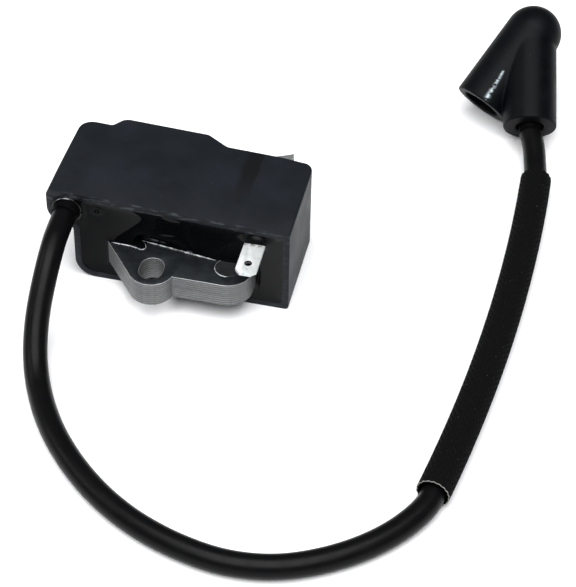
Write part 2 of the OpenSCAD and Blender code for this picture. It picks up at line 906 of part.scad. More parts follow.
case_shell();
potting_compound();
lamination(1);  // lamination_1
lamination(2);  // lamination_2
lamination(3);  // lamination_3
lamination(4);  // lamination_4
lamination(5);  // lamination_5
lamination(6);  // lamination_6
lamination(7);  // lamination_7
lamination(8);  // lamination_8
lamination(9);  // lamination_9
lamination(10);  // lamination_10
core_rivets();
primary_bobbin();
primary_winding();
secondary_bobbin();
secondary_winding(1);  // secondary_winding_1
secondary_winding(2);  // secondary_winding_2
secondary_winding(3);  // secondary_winding_3
secondary_winding(4);  // secondary_winding_4
charge_bobbin();
charge_winding();
trigger_bobbin();
trigger_winding();
circuit_board();
storage_capacitor();
thyristor();
diode(1);  // diode_1
diode(2);  // diode_2
diode(3);  // diode_3
resistor(1);  // resistor_1
resistor(2);  // resistor_2
kill_blade();
earth_strap();
ht_contact();
lead_bushing();
lead_tail();
lead_tube();
lead_end();
abrasion_sleeve();
boot();
plug_spring();
contact_spike();
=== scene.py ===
# %% [markdown]
# # A small-engine ignition coil
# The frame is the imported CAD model: every node already has its true size and place.
# What is left is what the eye reads as real: rounded mouldings, wet resin, stamped
# sheets, rubber that was moulded and a sleeve that was braided. All lengths are metres,
# so sizes are written in millimetres and multiplied by MM.

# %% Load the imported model
import bpy
import bmesh
import json
import math
import numpy as np
from mathutils import Matrix, Vector

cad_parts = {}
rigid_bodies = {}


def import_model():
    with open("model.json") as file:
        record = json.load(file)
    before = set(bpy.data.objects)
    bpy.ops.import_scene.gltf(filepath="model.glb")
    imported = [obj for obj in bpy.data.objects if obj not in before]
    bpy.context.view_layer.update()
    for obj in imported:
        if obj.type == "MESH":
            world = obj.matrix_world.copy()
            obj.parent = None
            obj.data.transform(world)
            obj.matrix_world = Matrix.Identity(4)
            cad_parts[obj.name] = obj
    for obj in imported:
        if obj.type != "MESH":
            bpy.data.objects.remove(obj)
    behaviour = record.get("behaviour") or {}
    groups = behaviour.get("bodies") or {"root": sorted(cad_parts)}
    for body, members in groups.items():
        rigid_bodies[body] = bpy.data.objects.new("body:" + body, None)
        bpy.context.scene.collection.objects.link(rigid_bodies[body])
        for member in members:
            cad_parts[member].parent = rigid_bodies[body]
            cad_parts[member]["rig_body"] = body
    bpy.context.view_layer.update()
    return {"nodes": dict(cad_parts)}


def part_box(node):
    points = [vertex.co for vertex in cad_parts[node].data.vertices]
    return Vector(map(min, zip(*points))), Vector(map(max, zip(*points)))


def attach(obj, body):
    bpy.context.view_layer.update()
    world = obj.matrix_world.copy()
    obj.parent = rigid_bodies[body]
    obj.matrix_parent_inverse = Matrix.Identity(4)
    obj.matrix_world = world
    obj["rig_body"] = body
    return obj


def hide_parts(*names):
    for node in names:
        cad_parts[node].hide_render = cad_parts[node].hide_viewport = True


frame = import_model()
NODES = frame["nodes"]
MM = 0.001

# %% [markdown]
# ## Camera
# The coil lies on a table and is seen from its open front, a little from the right and
# about 44 degrees down. A long lens from half a metre keeps the case's edges nearly
# parallel, and the camera is turned by a degree or so about its own line of sight.

# %% Camera
CAMERA_TARGET = Vector((26.99, -9.45, 0.0)) * MM
CAMERA_AZIMUTH = math.radians(11.9)
CAMERA_ELEVATION = math.radians(44.14)
CAMERA_DISTANCE = 495 * MM
CAMERA_ROLL = math.radians(1.33)
CAMERA_LENS_MM = 131.7

towards_camera = Vector((
    math.sin(CAMERA_AZIMUTH) * math.cos(CAMERA_ELEVATION),
    -math.cos(CAMERA_AZIMUTH) * math.cos(CAMERA_ELEVATION),
    math.sin(CAMERA_ELEVATION),
))
camera_data = bpy.data.cameras.new("camera")
camera_data.lens = CAMERA_LENS_MM
camera_data.clip_start = 10 * MM
camera = bpy.data.objects.new("camera", camera_data)
bpy.context.scene.collection.objects.link(camera)
camera.location = CAMERA_TARGET + towards_camera * CAMERA_DISTANCE
aim = (-towards_camera).to_track_quat("-Z", "Y")
camera.rotation_mode = "QUATERNION"
camera.rotation_quaternion = aim @ Matrix.Rotation(CAMERA_ROLL, 3, "Z").to_quaternion()
bpy.context.scene.camera = camera
print("camera at", [round(v, 4) for v in camera.location])

# %% [markdown]
# ## Surfaces from arrays
# Almost every new piece is one of two things: a ring of radius r carried along a path,
# or a height laid over a rectangle. Both are grids, so two short functions turn arrays
# of points into closed meshes, and the rest of the lesson is formulas.

# %% Mesh helpers
DOUBLED_WITHIN = 1e-7
CURVE_STEPS = 24


def new_piece(name, verts, faces, body, slot, smooth=True):
    """A mesh object from an (n, 3) array of metres and an array of quads or triangles."""
    mesh = bpy.data.meshes.new(name)
    mesh.from_pydata(np.asarray(verts, float).tolist(), [], [list(map(int, f)) for f in faces])
    mesh.validate()
    return finish_piece(name, mesh, body, smooth)


def finish_piece(name, mesh, body, smooth=True):
    """Links a finished mesh as a piece that rides on a body."""
    mesh.polygons.foreach_set("use_smooth", [smooth] * len(mesh.polygons))
    piece = bpy.data.objects.new(name, mesh)
    bpy.context.scene.collection.objects.link(piece)
    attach(piece, body)
    print(f"{name}: {len(mesh.vertices)} vertices, {len(mesh.polygons)} faces")
    return piece


def grid_faces(rows, cols, wrap_rows=False, wrap_cols=False):
    """Quads of a rows by cols grid of points numbered row by row, joined round if asked."""
    r = np.arange(rows if wrap_rows else rows - 1)
    c = np.arange(cols if wrap_cols else cols - 1)
    r, c = np.meshgrid(r, c, indexing="ij")
    r2, c2 = (r + 1) % rows, (c + 1) % cols
    quads = np.stack([r * cols + c, r * cols + c2, r2 * cols + c2, r2 * cols + c], -1)
    return quads.reshape(-1, 4)


def smooth_path(points, spacing):
    """A Catmull-Rom curve through the points, resampled at an even spacing."""
    p = np.asarray(points, float)
    p = np.vstack([2 * p[0] - p[1], p, 2 * p[-1] - p[-2]])
    t = np.linspace(0, 1, CURVE_STEPS, endpoint=False)[:, None]
    a, b, c, d = p[:-3, None], p[1:-2, None], p[2:-1, None], p[3:, None]
    fine = 0.5 * (2 * b + (c - a) * t + (2 * a - 5 * b + 4 * c - d) * t**2
                  + (3 * b - a - 3 * c + d) * t**3)
    fine = np.vstack([fine.reshape(-1, 3), p[-2]])
    run = np.concatenate([[0], np.cumsum(np.linalg.norm(np.diff(fine, axis=0), axis=1))])
    even = np.linspace(0, run[-1], int(run[-1] / spacing) + 1)
    return np.stack([np.interp(even, run, fine[:, k]) for k in range(3)], -1)


def path_frames(path, up=(0, 0, 1)):
    """The sideways and upward directions at each point of a path, square to its run."""
    run = np.gradient(path, axis=0)
    run /= np.linalg.norm(run, axis=1)[:, None]
    side = np.cross(run, np.asarray(up, float))
    side /= np.linalg.norm(side, axis=1)[:, None]
    return side, np.cross(side, run)


def rings(centres, side, lift, radius, around):
    """Points centre + radius * (cos a * side + sin a * lift), one ring for each centre.

    The radius is one number, a column with one for each ring, or a whole grid."""
    a = np.linspace(0, 2 * np.pi, around, endpoint=False)
    radius = np.broadcast_to(np.asarray(radius, float), (len(centres), around))[..., None]
    spoke = np.cos(a)[None, :, None] * side[:, None] + np.sin(a)[None, :, None] * lift[:, None]
    return centres[:, None] + radius * spoke


def closed_tube(points):
    """Vertices and faces of a stack of rings with a point at the middle of each end."""
    n, around = points.shape[:2]
    verts = np.vstack([points.reshape(-1, 3), points[0].mean(0), points[-1].mean(0)])
    k = np.arange(around)
    k2 = (k + 1) % around
    first = np.stack([np.full(around, n * around), k2, k], -1)
    last = np.stack([np.full(around, n * around + 1), (n - 1) * around + k,
                     (n - 1) * around + k2], -1)
    quads = grid_faces(n, around, wrap_cols=True)
    return verts, quads.tolist() + first.tolist() + last.tolist()


def outward(mesh):
    """Merges doubled corners and turns every face to point outwards."""
    work = bmesh.new()
    work.from_mesh(mesh)
    bmesh.ops.remove_doubles(work, verts=work.verts, dist=DOUBLED_WITHIN)
    bmesh.ops.recalc_face_normals(work, faces=work.faces)
    work.to_mesh(mesh)
    work.free()

# %% [markdown]
# ## The high-tension lead
# The real lead is about 5.4 mm thick: stranded wire in thick black insulation. It comes
# straight out of its bushing, droops to the table in a few diameters and lies in one
# loose bend that ends in the plug boot. It is a free cord, so its route comes before
# anything else: the points are the CAD model's own, joined by a smooth curve, and a
# round section is carried along it.

# %% Lead
LEAD_D = 5.42 * MM
LEAD_AROUND = 40
LEAD_SPACING = 0.9
# The boot's elbow, and its barrel: the direction that it points in and its length.
BOOT_AT = np.array([69.2, 76.7, 17.65])
BARREL_DIR = np.array([0.16407006, -0.88524285, -0.4352311])
BARREL_LEN = 24.6
# The free lead stops this far short of the barrel's mouth, where its sealed end begins.
LEAD_OUT = 1.0
lead_exit = np.array([-23.4, -16.75, 19.6])
lead_route = [
    (-23.3, -21, 19.6), (-23.2, -25, 19.2), (-23.1, -29.5, 17.6),
    (-23.1, -34.5, 14.4), (-23, -39, 10.9), (-22.4, -43.5, 7.6), (-21.2, -48, 4.9),
    (-19, -53.4, 3.2), (-15.6, -59.8, 2.73), (-11.4, -66.1, 2.73), (-6.4, -72, 2.73),
    (-1, -77.2, 2.73), (4.7, -81.6, 2.73), (10.9, -85.3, 2.73), (17.6, -88.2, 2.73),
    (24.4, -90.2, 2.73), (31.2, -91.3, 2.73), (37.9, -91.1, 2.73), (44.2, -89.7, 2.73),
    (50.2, -87.1, 2.73), (56, -83.5, 2.73), (61.5, -78.9, 2.8), (66.2, -73.4, 2.95),
    (69.7, -67.2, 3.2), (71, -60.6, 3.4), (72.6, -51, 3.45), (74.2, -39, 3.45),
    (75.5, -27, 3.45), (76.5, -15, 3.45), (77.2, -3, 3.45), (77.6, 9, 3.45),
    (77.7, 19, 3.45), (77.5, 29, 3.5), (77.05, 39.5, 3.9), (76.2, 44.8, 4.5),
    (75, 50, 5.6),
]
lead_last = BOOT_AT + (BARREL_LEN + LEAD_OUT) * BARREL_DIR
lead_path = smooth_path([lead_exit, *lead_route, lead_last], LEAD_SPACING) * MM
side, lift = path_frames(lead_path)
# The first ring stands square to the bushing's face, so that the joint is flat.
side[0], lift[0] = (-1, 0, 0), (0, 0, 1)
lead_rings = rings(lead_path, side, lift, LEAD_D / 2, LEAD_AROUND)
lead = new_piece("high_tension_lead", *closed_tube(lead_rings), "module", "lead")
outward(lead.data)
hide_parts("lead_tube")

# %% [markdown]
# ## Materials
# One small function adds a node with its settings and links, and another turns a hex
# colour into the linear one that the renderer works in. Each finish is then written
# as the maker would name it: glass-filled nylon, potting epoxy, varnished sheet steel,
# tin plate, extruded lead insulation, moulded rubber, braided sleeving. Patterns are
# laid in object coordinates, so one unit is a metre, and their scales come from real
# sizes: a noise of scale 1 / (0.25 mm) has grains a quarter of a millimetre across.

# %% Material helpers
def linear(hex_colour):
    """The linear RGBA of an sRGB hex colour such as #1b1e22."""
    c = np.array([int(hex_colour[i:i + 2], 16) for i in (1, 3, 5)]) / 255
    return (*np.where(c <= 0.04045, c / 12.92, ((c + 0.055) / 1.055) ** 2.4), 1.0)


def add(tree, kind, inputs=None, **settings):
    """Adds a node, sets its properties, and sets or links its inputs by name or number."""
    node = tree.nodes.new(kind)
    for key, value in settings.items():
        setattr(node, key, value)
    for key, value in (inputs or {}).items():
        if isinstance(value, bpy.types.NodeSocket):
            tree.links.new(value, node.inputs[key])
        else:
            node.inputs[key].default_value = value
    return node


def new_material(name, **constants):
    """A material with one principled shader whose constant sockets are set here.

    A socket is named with underscores for its spaces. Returned with the material are its
    tree, its shader and the object coordinates that place its patterns."""
    material = bpy.data.materials.new(name)
    material.use_nodes = True
    tree = material.node_tree
    shader = tree.nodes["Principled BSDF"]
    for key, value in constants.items():
        shader.inputs[key.replace("_", " ")].default_value = value
    place = add(tree, "ShaderNodeTexCoord").outputs["Object"]
    print("finish:", name)
    return material, tree, shader, place


def noise(tree, place, grain_mm, detail=4.0, rough=0.55, stretch=(1, 1, 1)):
    """Noise whose grains are grain_mm across, drawn out along an axis where stretch is low."""
    scaled = add(tree, "ShaderNodeMapping", {"Vector": place, "Scale": stretch})
    return add(tree, "ShaderNodeTexNoise", {
        "Vector": scaled.outputs[0], "Scale": 1 / (grain_mm * MM), "Detail": detail,
        "Roughness": rough}).outputs["Fac"]


def spread(tree, value, low, high, to_low=0.0, to_high=1.0):
    """Maps a value from one range to another and clamps it."""
    return add(tree, "ShaderNodeMapRange", {
        "Value": value, "From Min": low, "From Max": high,
        "To Min": to_low, "To Max": to_high}).outputs[0]


def blend_colours(tree, factor, a, b):
    """The mix of two colours, each a hex colour or a socket."""
    mix = add(tree, "ShaderNodeMix", {0: factor}, data_type="RGBA")
    for socket, colour in ((6, a), (7, b)):
        if isinstance(colour, str):
            mix.inputs[socket].default_value = linear(colour)
        else:
            tree.links.new(colour, mix.inputs[socket])
    return mix.outputs[2]


def arithmetic(tree, operation, a, b=0.0):
    """One sum on numbers or sockets."""
    return add(tree, "ShaderNodeMath", {0: a, 1: b}, operation=operation).outputs[0]


def distance_across(tree, axes, centre):
    """How far a point is from an upright line, sqrt(dx^2 + dy^2), in metres."""
    squares = []
    for axis, middle in zip(axes, centre):
        off = arithmetic(tree, "SUBTRACT", axis, middle * MM)
        squares.append(arithmetic(tree, "MULTIPLY", off, off))
    return arithmetic(tree, "SQRT", arithmetic(tree, "ADD", *squares))


def bump(tree, shader, height, depth_mm, strength=1.0):
    """Feeds a height of the given depth to the shader's normal."""
    relief = add(tree, "ShaderNodeBump", {
        "Height": height, "Distance": depth_mm * MM, "Strength": strength})
    tree.links.new(relief.outputs[0], shader.inputs["Normal"])


def set_material(material, *pieces):
    """Gives a material to pieces or to CAD nodes, in every slot."""
    for piece in pieces:
        mesh = piece.data
        if not mesh.materials:
            mesh.materials.append(material)
        for slot in range(len(mesh.materials)):
            mesh.materials[slot] = material

# %% [markdown]
# ### Glass-filled nylon
# The case is injection-moulded black nylon with glass fibre. It is matte, very slightly
# blue, and its skin has a fine spark-eroded grain. A dark band crosses the back half of
# the roof, where something once rested on it. Handling leaves faint scuffs and specks,
# and pale chips along the front rim, whose pale dashes, stronger towards the top, also
# paint the rim edge's highlight line. Each mark is a mask from zero to one: a stretch of
# x, y or z, or the peaks of a noise, and masks are multiplied where they meet.

# %% Nylon
CASE_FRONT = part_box("case_shell")[0].y
# The band's four soft edges: each runs from where the mask is zero to where it is one.
BAND_LEFT = (13.4 * MM, 14.6 * MM)
BAND_RIGHT = (17.8 * MM, 17.2 * MM)
BAND_FRONT = (-8.0 * MM, 2.0 * MM)
BAND_LOW = (21.8 * MM, 22.4 * MM)
BAND_WANDER = 2.2 * MM
RIM_RISE = (18 * MM, 21 * MM)
RIM_DEPTH = (CASE_FRONT + 0.36 * MM, CASE_FRONT + 0.2 * MM)
nylon, tree, shader, place = new_material("glass_filled_nylon", Specular_IOR_Level=0.15)
axes = add(tree, "ShaderNodeSeparateXYZ", {0: place}).outputs
grain = noise(tree, place, 0.22, 3.0)
cloud = noise(tree, place, 9.0, 3.0)
scuff = noise(tree, place, 1.1, 6.0, 0.7, (1.0, 0.16, 1.0))
wander = noise(tree, place, 6.0, 2.0)
band_x = arithmetic(tree, "ADD", axes[0], arithmetic(tree, "MULTIPLY", wander, BAND_WANDER))
band_sides = arithmetic(tree, "MULTIPLY", spread(tree, band_x, *BAND_LEFT),
                        spread(tree, band_x, *BAND_RIGHT))
band_ends = arithmetic(tree, "MULTIPLY", spread(tree, axes[1], *BAND_FRONT),
                       spread(tree, axes[2], *BAND_LOW))
band = arithmetic(tree, "MULTIPLY", band_sides, band_ends)
tone = blend_colours(tree, spread(tree, cloud, 0.35, 0.68), "#111418", "#16191f")
tone = blend_colours(tree, arithmetic(tree, "MULTIPLY", band, 0.75), tone, "#070808")
tone = blend_colours(tree, spread(tree, scuff, 0.69, 0.78, 0.0, 0.5), tone, "#34383c")
# Pale chips along the front rim, and also a painted highlight line on the rim's edge, stronger
# towards the top.
rim = arithmetic(tree, "MULTIPLY", spread(tree, axes[2], *RIM_RISE, 0.3, 1),
                 spread(tree, axes[1], *RIM_DEPTH))
dashes = noise(tree, place, 0.9, 5.0, stretch=(0.3, 1, 1))
rim_chips_and_highlight = arithmetic(tree, "MULTIPLY", rim, spread(tree, dashes, 0.5, 0.66))
tone = blend_colours(tree, arithmetic(tree, "MULTIPLY", rim_chips_and_highlight, 0.7), tone, "#43484b")
specks = spread(tree, noise(tree, place, 0.5, 1.0), 0.77, 0.82, 0.0, 0.3)
tone = blend_colours(tree, specks, tone, "#5c6165")
tree.links.new(tone, shader.inputs["Base Color"])
tree.links.new(spread(tree, cloud, 0.3, 0.7, 0.44, 0.58), shader.inputs["Roughness"])
bump(tree, shader, grain, 0.03, 0.55)

# %% [markdown]
# ### Potting epoxy
# The module is filled with black epoxy that was poured and set with a liquid's own
# skin: it is the glossiest thing here, and its mirror shows the core in front of it.
# Towards the blade it has gone slightly dull and grey, so its roughness and the strength
# of its reflection change across it, while its colour is the same everywhere.

# %% Epoxy
DULL_WANDER = 16 * MM
DULL_ROUGH = (18 * MM, 27 * MM)
DULL_GREY = (14 * MM, 27 * MM)
epoxy, tree, shader, place = new_material("black_potting_epoxy", IOR=1.5,
                                          Base_Color=linear("#060708"))
axes = add(tree, "ShaderNodeSeparateXYZ", {0: place}).outputs
dull = arithmetic(tree, "ADD", axes[0],
                  arithmetic(tree, "MULTIPLY", noise(tree, place, 14.0, 2.0), DULL_WANDER))
tree.links.new(spread(tree, dull, *DULL_ROUGH, 0.05, 0.3), shader.inputs["Roughness"])
tree.links.new(spread(tree, dull, *DULL_GREY, 0.07, 0.13),
               shader.inputs["Specular IOR Level"])
bump(tree, shader, noise(tree, place, 6.0, 2.0), 0.05, 0.5)

# %% Epoxy of the beads and plugs
# The thin beads at the resin's edge set clean and clear, so they keep a full shine. Their colour
# is a painted highlight: dark grey with broken patches of pale grey, for the bright line that
# each bead shows.
highlight_bead_epoxy, tree, shader, place = new_material("epoxy_bead_painted_highlight", IOR=1.6, Roughness=0.1)
highlight_breakup = spread(tree, noise(tree, place, 1.6, 3.0), 0.38, 0.6)
# Painted highlight: pale grey in broken patches over dark grey.
tree.links.new(blend_colours(tree, highlight_breakup, "#2a2c2e", "#b9bec0"), shader.inputs["Base Color"])
bump(tree, shader, noise(tree, place, 0.9, 3.0), 0.05, 0.6)

# Round the bushing the resin is thick and set undisturbed, black and mirror-smooth.
glossy_epoxy, tree, shader, place = new_material(
    "mirror_black_epoxy", IOR=1.5, Specular_IOR_Level=0.25, Base_Color=linear("#050506"))
tree.links.new(spread(tree, noise(tree, place, 2.0, 2.0), 0.3, 0.7, 0.04, 0.12),
               shader.inputs["Roughness"])

# The plug in the round hole gathered dust before it set, so it is as dull as the steel.
dusty_epoxy, tree, shader, place = new_material("dusty_epoxy_skin", IOR=1.5,
                                                Base_Color=linear("#141618"))
tree.links.new(spread(tree, noise(tree, place, 1.5, 3.0), 0.3, 0.7, 0.3, 0.5),
               shader.inputs["Roughness"])

# %% [markdown]
# ### Varnished sheet steel
# The core is a stack of stamped silicon-steel sheets. The top sheet is dark with
# insulating varnish and has a dull metal sheen; the cut edges are bare and lighter, and
# each sheet's edge gets paler towards its top, which draws fine lines along the stack.
# The two looks are parted by how steep the surface is, from zero on an upright face to
# one on a level one. Between the two lies the rounded burr, which is worn bright and is
# also painted lighter as the highlight that its rounding catches; along the top sheet's
# upper edge that painted highlight is nearly white.

# %% Sheet steel
# The underside of the lowest sheet, the step from sheet to sheet, where the poles come
# out behind the case and are bare, and the top sheet's own rounded edge.
LAM_Z = 5.4 * MM
LAM_PITCH = 0.62 * MM
POLE_START = (11 * MM, 12 * MM)
TOP_EDGE = (11.4 * MM, 11.5 * MM)
steel, tree, shader, place = new_material("varnished_sheet_steel")
axes = add(tree, "ShaderNodeSeparateXYZ", {0: place}).outputs
normal = add(tree, "ShaderNodeNewGeometry").outputs["Normal"]
up = add(tree, "ShaderNodeSeparateXYZ", {0: normal}).outputs[2]
level = arithmetic(tree, "ABSOLUTE", up)
flat = spread(tree, level, 0.55, 0.85)
sheet_phase = arithmetic(tree, "FRACT", arithmetic(
    tree, "DIVIDE", arithmetic(tree, "SUBTRACT", axes[2], LAM_Z), LAM_PITCH))
sheared = spread(tree, sheet_phase, 0.2, 0.75)
streak = noise(tree, place, 0.5, 5.0, 0.7, (0.35, 0.35, 3.0))
cut_tone = blend_colours(tree, spread(tree, streak, 0.35, 0.65), "#3c3e40", "#646565")
cut_tone = blend_colours(tree, arithmetic(tree, "MULTIPLY", sheared, 0.35), cut_tone, "#757676")
varnish = noise(tree, place, 3.0, 5.0, 0.6)
varnish_tone = blend_colours(tree, spread(tree, varnish, 0.35, 0.7), "#212427", "#2e3235")
bare_pole = spread(tree, axes[1], *POLE_START)
varnish_tone = blend_colours(tree, bare_pole, varnish_tone, "#8d8f8e")
steel_tone = blend_colours(tree, flat, cut_tone, varnish_tone)
# Rounded edges: worn burr and a painted highlight; on the top sheet's upper edge, a near-white
# painted highlight.
burr_and_edge_highlight = arithmetic(tree, "MULTIPLY", spread(tree, level, 0.15, 0.3),
                  spread(tree, level, 0.97, 0.9))
steel_tone = blend_colours(tree, burr_and_edge_highlight, steel_tone, "#8e9090")
top_edge_highlight = arithmetic(tree, "MULTIPLY", burr_and_edge_highlight, spread(tree, axes[2], *TOP_EDGE))
steel_tone = blend_colours(tree, top_edge_highlight, steel_tone, "#d6d8d8")
tree.links.new(steel_tone, shader.inputs["Base Color"])
tree.links.new(spread(tree, flat, 0, 1, 0.55, 0.6), shader.inputs["Metallic"])
tree.links.new(spread(tree, flat, 0, 1, 0.5, 0.36), shader.inputs["Roughness"])
bump(tree, shader, noise(tree, place, 0.35, 4.0), 0.02, 0.6)

# %% [markdown]
# ### Tin plate and the hidden finishes
# The blade is brass strip plated with bright tin, which has a soft, almost white shine,
# grey stains and a little flux dirt at its root. The inside of its small hole lies in
# shade, and that shade is painted: the colour turns black within a short distance of the
# hole's middle. The hidden metals and mouldings only need their own colour and a fine grain.

# %% Tin plate
# The middle of the hole, the radii between which its painted shade comes in, and the blade's
# root.
BLADE_HOLE = (20.2, -20.75)
HOLE_EDGE = (0.9 * MM, 0.84 * MM)
BLADE_ROOT = (-15.6 * MM, -14.4 * MM)
tin, tree, shader, place = new_material("bright_tin_plate", Metallic=0.3, Roughness=0.38)
axes = add(tree, "ShaderNodeSeparateXYZ", {0: place}).outputs
dirt = arithmetic(tree, "MULTIPLY", spread(tree, axes[1], *BLADE_ROOT),
                  spread(tree, noise(tree, place, 0.8, 5.0), 0.46, 0.6))
stain = spread(tree, noise(tree, place, 1.3, 3.0), 0.6, 0.7, 0.0, 0.5)
tin_tone = blend_colours(tree, spread(tree, noise(tree, place, 2.5, 4.0), 0.4, 0.7),
                         "#d0d3d2", "#bcc1c2")
tin_tone = blend_colours(tree, stain, tin_tone, "#8f9ca8")
# Painted shade inside the hole: black near its middle.
hole_painted_shade = spread(tree, distance_across(tree, axes, BLADE_HOLE), *HOLE_EDGE)
tin_tone = blend_colours(tree, hole_painted_shade, tin_tone, "#141414")
tree.links.new(blend_colours(tree, dirt, tin_tone, "#4a463e"), shader.inputs["Base Color"])
bump(tree, shader, noise(tree, place, 0.3, 3.0), 0.01, 0.5)

# %% Hidden finishes
def plain(name, colour, metallic, roughness, grain_mm, depth_mm):
    """A finish of one colour with a fine grain, for pieces that only show when apart."""
    material, tree, shader, place = new_material(name, Metallic=metallic,
                                                 Base_Color=linear(colour))
    grain = noise(tree, place, grain_mm, 4.0)
    tree.links.new(spread(tree, grain, 0.3, 0.7, roughness - 0.06, roughness + 0.08),
                   shader.inputs["Roughness"])
    bump(tree, shader, grain, depth_mm, 0.5)
    return material


rivet_steel = plain("plain_rivet_steel", "#a9abad", 1.0, 0.35, 0.4, 0.01)
spring_steel = plain("plated_spring_steel", "#b9bbbd", 1.0, 0.25, 0.3, 0.005)
brass = plain("plain_brass", "#c9a24a", 1.0, 0.3, 0.4, 0.005)
natural_nylon = plain("moulded_natural_nylon", "#d8d4c4", 0.0, 0.45, 0.5, 0.01)
glass_epoxy = plain("green_glass_epoxy_board", "#2f6b3a", 0.0, 0.4, 0.5, 0.01)
dipped_film = plain("dipped_capacitor_lacquer", "#8c3b2a", 0.0, 0.25, 1.0, 0.01)
chip_epoxy = plain("moulded_chip_epoxy", "#17181a", 0.0, 0.5, 0.3, 0.01)
resistor_lacquer = plain("resistor_lacquer", "#c9b48a", 0.0, 0.35, 0.5, 0.01)

# %% Enamelled copper
# A winding's turns show as fine ridges, one for each turn along the coil.
TURN = 0.35 * MM
copper, tree, shader, place = new_material(
    "enamelled_copper_wire", Metallic=1.0, Roughness=0.28, Base_Color=linear("#b5652b"))
along_coil = add(tree, "ShaderNodeSeparateXYZ", {0: place}).outputs[1]
turns = arithmetic(tree, "SINE", arithmetic(tree, "MULTIPLY", along_coil, 2 * math.pi / TURN))
bump(tree, shader, turns, 0.1, 0.8)

# %% [markdown]
# ### Lead insulation, moulded rubber and braided sleeving
# The lead's insulation is extruded, so it is satin, with a skin that is slightly uneven.
# The boot is moulded rubber: a little duller, with dust, a soft bloom and a pale painted
# highlight streak, whose place is an attribute of the mesh. The sleeve is braided from dark
# yarn, carries some lint and shows no gloss at all.

# %% Lead insulation
insulation, tree, shader, place = new_material(
    "extruded_lead_insulation", Specular_IOR_Level=0.09, Base_Color=linear("#070708"))
tree.links.new(spread(tree, noise(tree, place, 3.0, 4.0), 0.3, 0.7, 0.3, 0.42),
               shader.inputs["Roughness"])
bump(tree, shader, noise(tree, place, 0.6, 4.0), 0.02, 0.5)

# %% Moulded rubber
rubber, tree, shader, place = new_material("moulded_black_rubber", Specular_IOR_Level=0.06)
bloom = noise(tree, place, 5.0, 4.0)
dust = noise(tree, place, 0.7, 2.0)
rubber_tone = blend_colours(tree, spread(tree, bloom, 0.35, 0.7), "#040507", "#080a0d")
rubber_tone = blend_colours(tree, spread(tree, dust, 0.74, 0.8, 0.0, 0.35), rubber_tone,
                            "#4a4d50")
# Painted highlight: a pale streak whose place is a mesh attribute, broken into patches by a
# noise.
painted_streak = add(tree, "ShaderNodeAttribute", attribute_name="painted_highlight_streak").outputs["Fac"]
highlight_breakup = spread(tree, noise(tree, place, 1.2, 5.0, 0.75), 0.43, 0.53)
rubber_tone = blend_colours(tree, arithmetic(tree, "MULTIPLY", painted_streak, highlight_breakup), rubber_tone,
                            "#b8c6cb")
tree.links.new(rubber_tone, shader.inputs["Base Color"])
tree.links.new(spread(tree, bloom, 0.3, 0.7, 0.38, 0.5), shader.inputs["Roughness"])
bump(tree, shader, noise(tree, place, 0.3, 3.0), 0.02, 0.5)

# %% Braided sleeving
braid, tree, shader, place = new_material("braided_black_sleeving", Roughness=0.8,
                                          Specular_IOR_Level=0.06)
yarn = noise(tree, place, 0.5, 5.0, 0.7)
lint = noise(tree, place, 0.45, 1.0)
yarn_tone = blend_colours(tree, spread(tree, yarn, 0.35, 0.7), "#050505", "#0b0b0c")
yarn_tone = blend_colours(tree, spread(tree, lint, 0.76, 0.8, 0.0, 0.5), yarn_tone, "#6b6c6c")
ends = add(tree, "ShaderNodeAttribute", attribute_name="cut_edge").outputs["Fac"]
yarn_tone = blend_colours(tree, spread(tree, ends, 0.35, 0.8), yarn_tone, "#8b8a86")
tree.links.new(yarn_tone, shader.inputs["Base Color"])
bump(tree, shader, yarn, 0.08, 0.8)

# %% [markdown]
# ## The case
# A moulding has no sharp edge anywhere, and the thin bright line along each rounded edge
# is what makes it look moulded. The CAD solid has the right shape, so a copy of it is
# merged, its flat triangles are joined into whole faces, and a narrow bevel rounds
# every edge.

# %% Case
CASE_ROUNDING = 0.4
CAD_MERGE = 2e-6
FLAT_WITHIN = math.radians(1.0)


def rounded_copy(node, name, slot, width_mm, segments=3, angle_deg=28.0):
    """A copy of a CAD node, its flat faces joined and its sharp edges rounded."""
    mesh = NODES[node].data.copy()
    mesh.name = name
    work = bmesh.new()
    work.from_mesh(mesh)
    bmesh.ops.remove_doubles(work, verts=work.verts, dist=CAD_MERGE)
    bmesh.ops.dissolve_limit(work, angle_limit=FLAT_WITHIN, verts=work.verts,
                             edges=work.edges)
    work.to_mesh(mesh)
    work.free()
    piece = finish_piece(name, mesh, NODES[node]["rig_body"])
    edge = piece.modifiers.new("rounded_edges", "BEVEL")
    edge.width = width_mm * MM
    edge.segments = segments
    edge.limit_method = "ANGLE"
    edge.angle_limit = math.radians(angle_deg)
    edge.harden_normals = True
    edge.miter_outer = "MITER_ARC"
    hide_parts(node)
    return piece


case = rounded_copy("case_shell", "moulded_case", "case", CASE_ROUNDING)
set_material(nylon, case)

# %% [markdown]
# ## The core's sheets and the blade
# Ten stamped sheets, each rolled over a little at its edge by the punch. Rounding each
# copy by less than a tenth of a millimetre opens the fine grooves between them. The
# stop-switch blade is stamped too, and its edges are a little rounder.

# %% Sheets and blade
SHEETS = 10
SHEET_ROUNDING = 0.09
BLADE_ROUNDING = 0.12
STAMPED = {"segments": 2, "angle_deg": 40.0}
for number in range(1, SHEETS + 1):
    sheet = rounded_copy(f"lamination_{number}", f"core_sheet_{number}", "core_steel",
                         SHEET_ROUNDING, **STAMPED)
    set_material(steel, sheet)

blade = rounded_copy("kill_blade", "stop_switch_blade", "tin", BLADE_ROUNDING, **STAMPED)
set_material(tin, blade)

